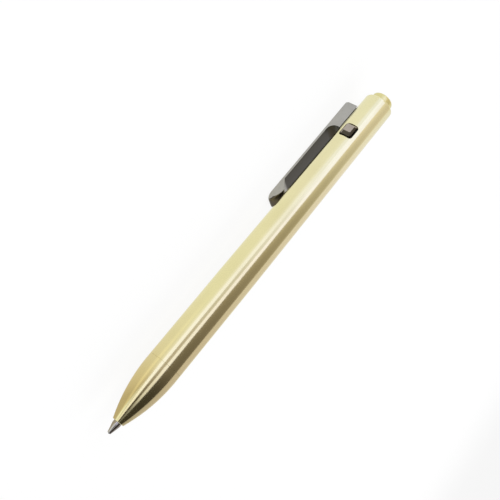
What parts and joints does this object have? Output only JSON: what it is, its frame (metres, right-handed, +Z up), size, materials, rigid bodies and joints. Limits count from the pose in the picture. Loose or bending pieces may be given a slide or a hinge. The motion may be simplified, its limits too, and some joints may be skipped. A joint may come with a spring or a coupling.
{
  "type": "retractable pen",
  "caption": "Slim retractable ballpoint pen: turned body, arc-shaped nose, end push knob, bevelled side release button in a window, and a flat milled pocket clip.",
  "frame": {"origin": "bottom centre of the pen as it lies on a desk on its clip", "axes": "+X along the pen from the point to the knob, +Y to the side button, +Z up, away from the clip"},
  "size_m": [0.1364, 0.0116, 0.0141],
  "materials": {
    "body_brass": "satin, fine turned lines round the body",
    "knob_brass": "satin, turned",
    "clip_titanium": "bead-blasted titanium, fine matt grain",
    "button_titanium": "bead-blasted titanium, fine matt grain",
    "screw_steel": "bright turned steel",
    "mechanism_steel": "turned steel",
    "spring_steel": "drawn wire and rolled strip",
    "refill_steel": "polished steel",
    "seal_rubber": "matt black rubber",
    "plug_plastic": "moulded black plastic",
    "ball_carbide": "polished carbide",
    "ink": "wet black ink paste"
  },
  "bodies": {
    "body": {"barrel": "body_brass", "nose_cone": "body_brass", "nose_seal": "seal_rubber", "clip": "clip_titanium", "clip_screw_front": "screw_steel", "clip_screw_rear": "screw_steel", "catch_sleeve": "mechanism_steel", "return_spring": "spring_steel", "button_spring": "spring_steel"},
    "plunger": {"push_knob": "knob_brass", "plunger_rod": "mechanism_steel", "catch_leaf": "spring_steel", "catch_rivet": "mechanism_steel", "refill_cup": "mechanism_steel", "refill_plug": "plug_plastic", "refill_tube": "refill_steel", "ink_column": "ink", "refill_point": "refill_steel", "writing_ball": "ball_carbide"},
    "button": {"side_button": "button_titanium"}
  },
  "joints": [
    {"name": "plunger_slide", "type": "slide", "parent": "body", "child": "plunger", "axis": [1, 0, 0], "range_m": [-0.0008, 0.005], "deforming": ["return_spring", "catch_leaf"]},
    {"name": "button_press", "type": "slide", "parent": "body", "child": "button", "axis": [0, -1, 0], "range_m": [0, 0.0011], "stiffness_N_per_m": 250, "springref_m": -0.002, "deforming": ["button_spring", "catch_leaf"]}
  ]
}
